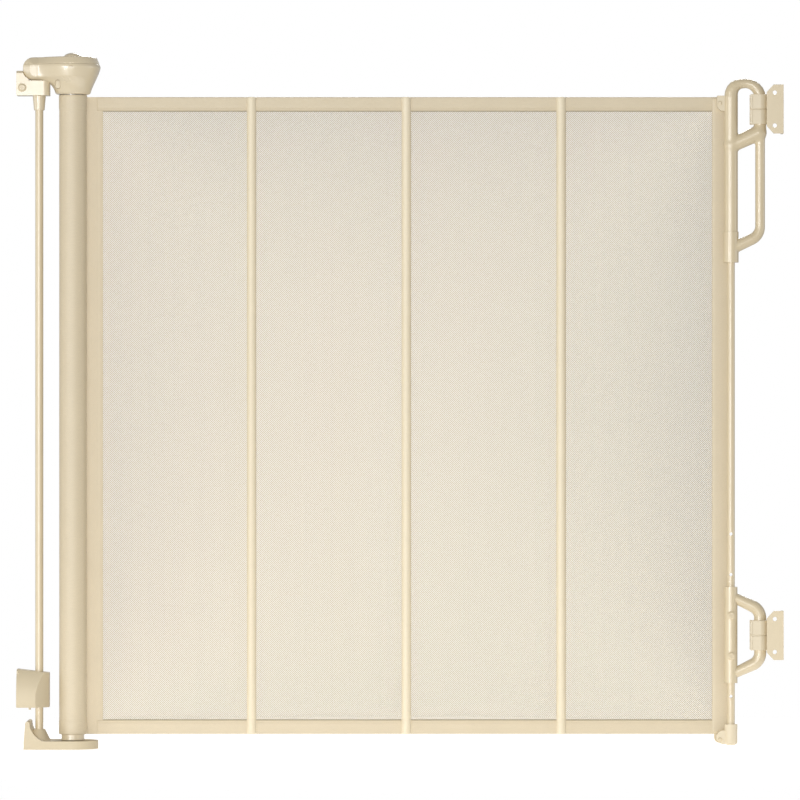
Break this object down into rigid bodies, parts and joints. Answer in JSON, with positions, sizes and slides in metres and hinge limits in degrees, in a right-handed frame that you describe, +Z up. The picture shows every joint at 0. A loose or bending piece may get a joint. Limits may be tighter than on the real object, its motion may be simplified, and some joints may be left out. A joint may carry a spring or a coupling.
{
  "type": "retractable baby gate",
  "caption": "Retractable mesh safety gate: a spring roller post on one wall, a mesh sheet with stiffeners, and a pull bar with looped handles held in wall catches.",
  "frame": {"origin": "on the floor at the middle of the doorway, level front to back with the roller's axis", "axes": "+X from the roller post to the pull bar and its catches, +Y away from the room, +Z up; the room-side face is at -Y"},
  "size_m": [1, 0.0726, 0.9076],
  "materials": {
    "painted_steel": "satin powder coat, cream",
    "moulded_plastic": "satin moulded plastic, cream",
    "pale_plastic": "satin moulded plastic, pale cream",
    "steel": "zinc-plated steel",
    "tube_aluminium": "drawn tube",
    "bearing_plastic": "acetal, natural",
    "liner_rubber": "soft elastomer",
    "mesh_fabric": "woven open mesh, cream",
    "solid_cloth": "plain woven polyester, cream"
  },
  "bodies": {
    "post": {"top_wall_plate": "steel", "top_mount_block": "moulded_plastic", "block_lock_screw": "painted_steel", "rod_ferrule": "moulded_plastic", "support_rod": "painted_steel", "foot_arm": "moulded_plastic", "foot_screw": "steel", "lower_spindle": "steel", "head_body": "moulded_plastic", "head_cover": "moulded_plastic", "head_screws": "steel", "lock_indicator": "pale_plastic", "spring_axle": "steel", "torsion_spring": "steel", "leader_panel": "solid_cloth", "mesh_panel_1": "mesh_fabric", "catch_plate_top": "painted_steel", "catch_jaw_top": "moulded_plastic", "catch_liner_top": "liner_rubber", "catch_plate_bottom": "painted_steel", "catch_jaw_bottom": "moulded_plastic", "catch_liner_bottom": "liner_rubber"},
    "lower_clamp": {"rod_clamp": "moulded_plastic", "clamp_wall_plate": "steel", "clamp_set_screw": "painted_steel"},
    "roller": {"roller_tube": "tube_aluminium", "roller_top_plug": "bearing_plastic", "roller_bottom_plug": "moulded_plastic", "lock_crown": "steel", "sheet_wrap": "solid_cloth", "spring_anchor": "bearing_plastic", "top_bearing": "bearing_plastic", "lower_bearing": "bearing_plastic"},
    "button": {"release_button": "moulded_plastic", "lock_ring": "steel", "button_spring": "steel"},
    "stiffener_1": {"stiffener_rod_1": "steel", "stiffener_sleeve_1": "solid_cloth", "mesh_panel_2": "mesh_fabric"},
    "stiffener_2": {"stiffener_rod_2": "steel", "stiffener_sleeve_2": "solid_cloth", "mesh_panel_3": "mesh_fabric"},
    "stiffener_3": {"stiffener_rod_3": "steel", "stiffener_sleeve_3": "solid_cloth", "mesh_panel_4": "mesh_fabric"},
    "pull_bar": {"edge_sleeve": "solid_cloth", "edge_bar": "steel", "edge_rivets": "painted_steel", "pull_rod": "painted_steel", "top_sheet_clip": "pale_plastic", "bottom_cap": "pale_plastic", "handle_loop": "painted_steel", "hand_grip": "painted_steel", "handle_collar": "painted_steel", "lower_sleeve": "painted_steel", "lower_loop": "painted_steel", "lower_loop_bolts": "painted_steel", "lower_loop_nuts": "steel"}
  },
  "joints": [
    {"name": "retract", "type": "slide", "parent": "post", "child": "pull_bar", "axis": [-1, 0, 0], "range_m": [0, 0.77], "deforming": ["leader_panel", "mesh_panel_1", "mesh_panel_2", "mesh_panel_3", "mesh_panel_4"]},
    {"name": "stiffener_1_travel", "type": "slide", "parent": "post", "child": "stiffener_1", "axis": [-1, 0, 0], "range_m": [0, 0.2133]},
    {"name": "stiffener_2_travel", "type": "slide", "parent": "post", "child": "stiffener_2", "axis": [-1, 0, 0], "range_m": [0, 0.399]},
    {"name": "stiffener_3_travel", "type": "slide", "parent": "post", "child": "stiffener_3", "axis": [-1, 0, 0], "range_m": [0, 0.5846]},
    {"name": "roller_spin", "type": "hinge", "parent": "post", "child": "roller", "pos_m": [-0.427, 0, 0], "axis": [0, 0, 1], "range_deg": [-2, 2162]},
    {"name": "button_press", "type": "slide", "parent": "post", "child": "button", "axis": [0, 0, -1], "range_m": [0, 0.004], "stiffness_N_per_m": 400, "springref_m": -0.004, "deforming": ["button_spring"]},
    {"name": "clamp_height", "type": "slide", "parent": "post", "child": "lower_clamp", "axis": [0, 0, 1], "range_m": [-0.01, 0.15]}
  ],
  "couplings": [
    {"joint": "stiffener_1_travel", "follows": "retract", "ratio": 0.27679},
    {"joint": "stiffener_2_travel", "follows": "retract", "ratio": 0.51786},
    {"joint": "stiffener_3_travel", "follows": "retract", "ratio": 0.75893},
    {"joint": "roller_spin", "follows": "retract", "rad_per_m": 48.96}
  ]
}
